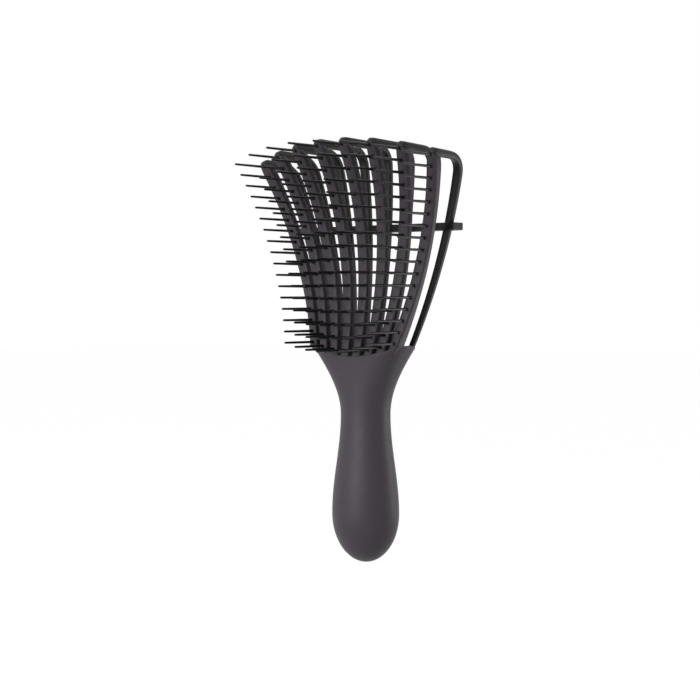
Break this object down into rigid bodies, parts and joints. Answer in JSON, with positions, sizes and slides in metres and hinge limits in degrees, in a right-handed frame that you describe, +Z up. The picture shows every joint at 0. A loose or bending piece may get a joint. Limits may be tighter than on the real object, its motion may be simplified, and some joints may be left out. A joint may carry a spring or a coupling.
{
  "type": "detangling hairbrush",
  "caption": "Detangling hairbrush with a smooth grip and a curved fan of looped flexing arms that carry rows of slim parallel pins, held apart at the back by a spacer bar.",
  "frame": {"origin": "on the handle's long axis, at the middle of the grip, where the hand closes round it", "axes": "+Z up the handle to the head, -Y the way the pins point, +X across the fan of arms"},
  "size_m": [0.116, 0.0654, 0.2153],
  "materials": {
    "grey_abs": "satin",
    "black_nylon": "satin",
    "black_pin_nylon": "semi-gloss"
  },
  "bodies": {
    "handle_body": {"handle": "grey_abs", "spacer_bar": "black_nylon"},
    "arm_1": {"arm_limb_1": "grey_abs", "strap_loop_1": "black_nylon", "pin_row_1": "black_pin_nylon"},
    "arm_2": {"arm_limb_2": "grey_abs", "strap_loop_2": "black_nylon", "pin_row_2": "black_pin_nylon"},
    "arm_3": {"arm_limb_3": "grey_abs", "strap_loop_3": "black_nylon", "pin_row_3": "black_pin_nylon"},
    "arm_4": {"arm_limb_4": "grey_abs", "strap_loop_4": "black_nylon", "pin_row_4": "black_pin_nylon"},
    "arm_5": {"arm_limb_5": "grey_abs", "strap_loop_5": "black_nylon", "pin_row_5": "black_pin_nylon"},
    "arm_6": {"arm_limb_6": "grey_abs", "strap_loop_6": "black_nylon", "pin_row_6": "black_pin_nylon"},
    "arm_7": {"arm_limb_7": "grey_abs", "strap_loop_7": "black_nylon", "pin_row_7": "black_pin_nylon"},
    "arm_8": {"arm_limb_8": "grey_abs", "strap_loop_8": "black_nylon", "pin_row_8": "black_pin_nylon"}
  },
  "joints": [
    {"name": "arm_1_flex", "type": "hinge", "parent": "handle_body", "child": "arm_1", "pos_m": [-0.02534, -0.0106, 0.05822], "axis": [0, 1, 0], "range_deg": [-2, 2], "stiffness_Nm_per_rad": 0.3},
    {"name": "arm_2_flex", "type": "hinge", "parent": "handle_body", "child": "arm_2", "pos_m": [-0.01809, -0.01153, 0.05615], "axis": [0, 1, 0], "range_deg": [-2, 2], "stiffness_Nm_per_rad": 0.3},
    {"name": "arm_3_flex", "type": "hinge", "parent": "handle_body", "child": "arm_3", "pos_m": [-0.01085, -0.01215, 0.05478], "axis": [0, 1, 0], "range_deg": [-2, 2], "stiffness_Nm_per_rad": 0.3},
    {"name": "arm_4_flex", "type": "hinge", "parent": "handle_body", "child": "arm_4", "pos_m": [-0.00362, -0.01246, 0.05409], "axis": [0, 1, 0], "range_deg": [-2, 2], "stiffness_Nm_per_rad": 0.3},
    {"name": "arm_5_flex", "type": "hinge", "parent": "handle_body", "child": "arm_5", "pos_m": [0.00362, -0.01246, 0.05409], "axis": [0, 1, 0], "range_deg": [-2, 2], "stiffness_Nm_per_rad": 0.3},
    {"name": "arm_6_flex", "type": "hinge", "parent": "handle_body", "child": "arm_6", "pos_m": [0.01085, -0.01215, 0.05478], "axis": [0, 1, 0], "range_deg": [-2, 2], "stiffness_Nm_per_rad": 0.3},
    {"name": "arm_7_flex", "type": "hinge", "parent": "handle_body", "child": "arm_7", "pos_m": [0.01809, -0.01153, 0.05615], "axis": [0, 1, 0], "range_deg": [-2, 2], "stiffness_Nm_per_rad": 0.3},
    {"name": "arm_8_flex", "type": "hinge", "parent": "handle_body", "child": "arm_8", "pos_m": [0.02534, -0.0106, 0.05822], "axis": [0, 1, 0], "range_deg": [-2, 2], "stiffness_Nm_per_rad": 0.3}
  ]
}
